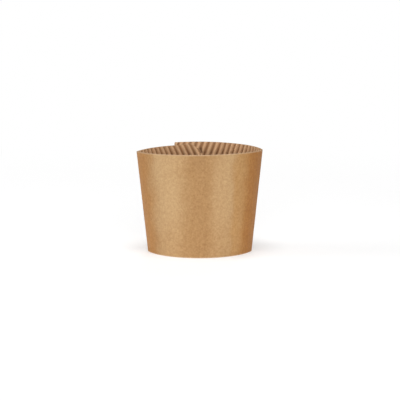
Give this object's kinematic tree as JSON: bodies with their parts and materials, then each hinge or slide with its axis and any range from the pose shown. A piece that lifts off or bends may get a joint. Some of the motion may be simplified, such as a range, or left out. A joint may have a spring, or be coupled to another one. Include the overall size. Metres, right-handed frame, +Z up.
{
  "type": "coffee cup sleeve",
  "caption": "Tapered sleeve of single-face corrugated kraft board, creased at two sides and glued with an overlap, that slips over a hot paper cup.",
  "frame": {"origin": "centre of the bounding box in plan, at the foot of the sleeve, which it stands on", "axes": "+Z up, towards the wide end; +X towards the right crease; the front faces -Y and the glued overlap is at +Y"},
  "size_m": [0.0754, 0.0624, 0.0626],
  "materials": {
    "kraft_board": "matte"
  },
  "bodies": {
    "root": {"sleeve": "kraft_board"}
  },
  "joints": []
}
